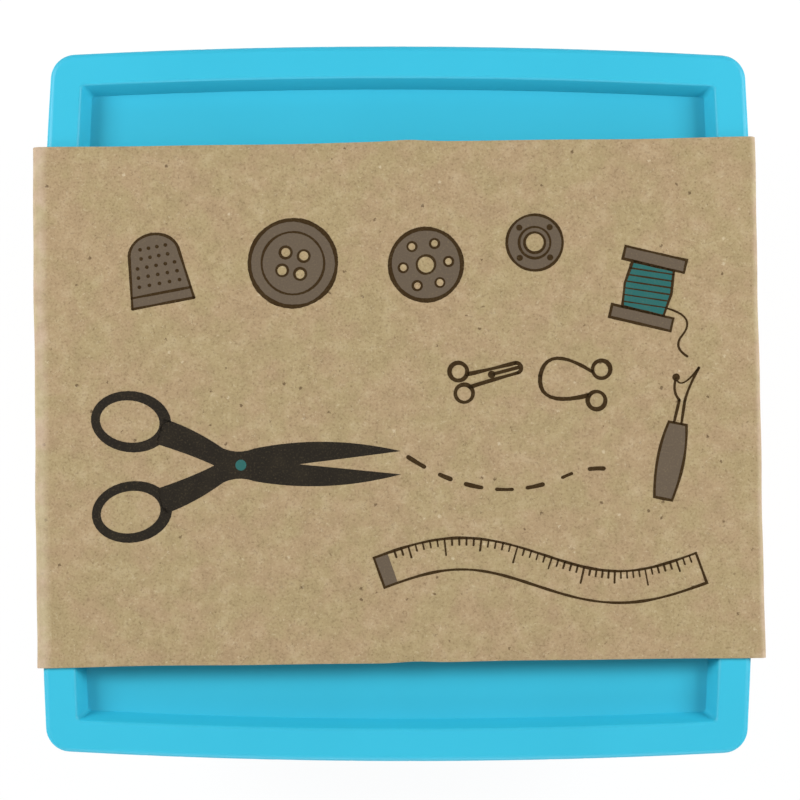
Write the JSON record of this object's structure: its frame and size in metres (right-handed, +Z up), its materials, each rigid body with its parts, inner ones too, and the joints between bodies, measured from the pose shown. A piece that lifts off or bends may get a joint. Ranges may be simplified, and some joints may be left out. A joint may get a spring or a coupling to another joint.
{
  "type": "magnetic pin bowl",
  "caption": "Shallow square magnetic pin dish with a recessed tray over a hidden ring magnet, wrapped in a printed kraft board sleeve that slides off.",
  "frame": {"origin": "middle of the flat underside of the sleeve, which the wrapped dish stands on", "axes": "+Z up, out of the dish's open face; +X to the right of the user, across the sleeve, between its two side folds; +Y away from the user"},
  "size_m": [0.1076, 0.105, 0.0259],
  "materials": {
    "tray_plastic": "satin",
    "cover_plastic": "satin",
    "foam": "matte",
    "ferrite": "matte",
    "plated_steel": "satin",
    "screw_steel": "satin",
    "foot_rubber": "matte",
    "kraft_board": "matte",
    "hot_melt": "satin"
  },
  "bodies": {
    "root": {"tray": "tray_plastic", "base_cover": "cover_plastic", "magnet_pad": "foam", "magnet_ring": "ferrite", "back_plate": "plated_steel", "magnet_washer": "plated_steel", "magnet_screw": "screw_steel", "cover_screw_1": "screw_steel", "cover_screw_2": "screw_steel", "cover_screw_3": "screw_steel", "cover_screw_4": "screw_steel", "foot_1": "foot_rubber", "foot_2": "foot_rubber", "foot_3": "foot_rubber", "foot_4": "foot_rubber"},
    "sleeve": {"sleeve": "kraft_board", "sleeve_glue": "hot_melt"}
  },
  "joints": [
    {"name": "sleeve_slide", "type": "slide", "parent": "root", "child": "sleeve", "axis": [-0.0166, 0.9999, 0], "range_m": [-0.1, 0.1]}
  ]
}
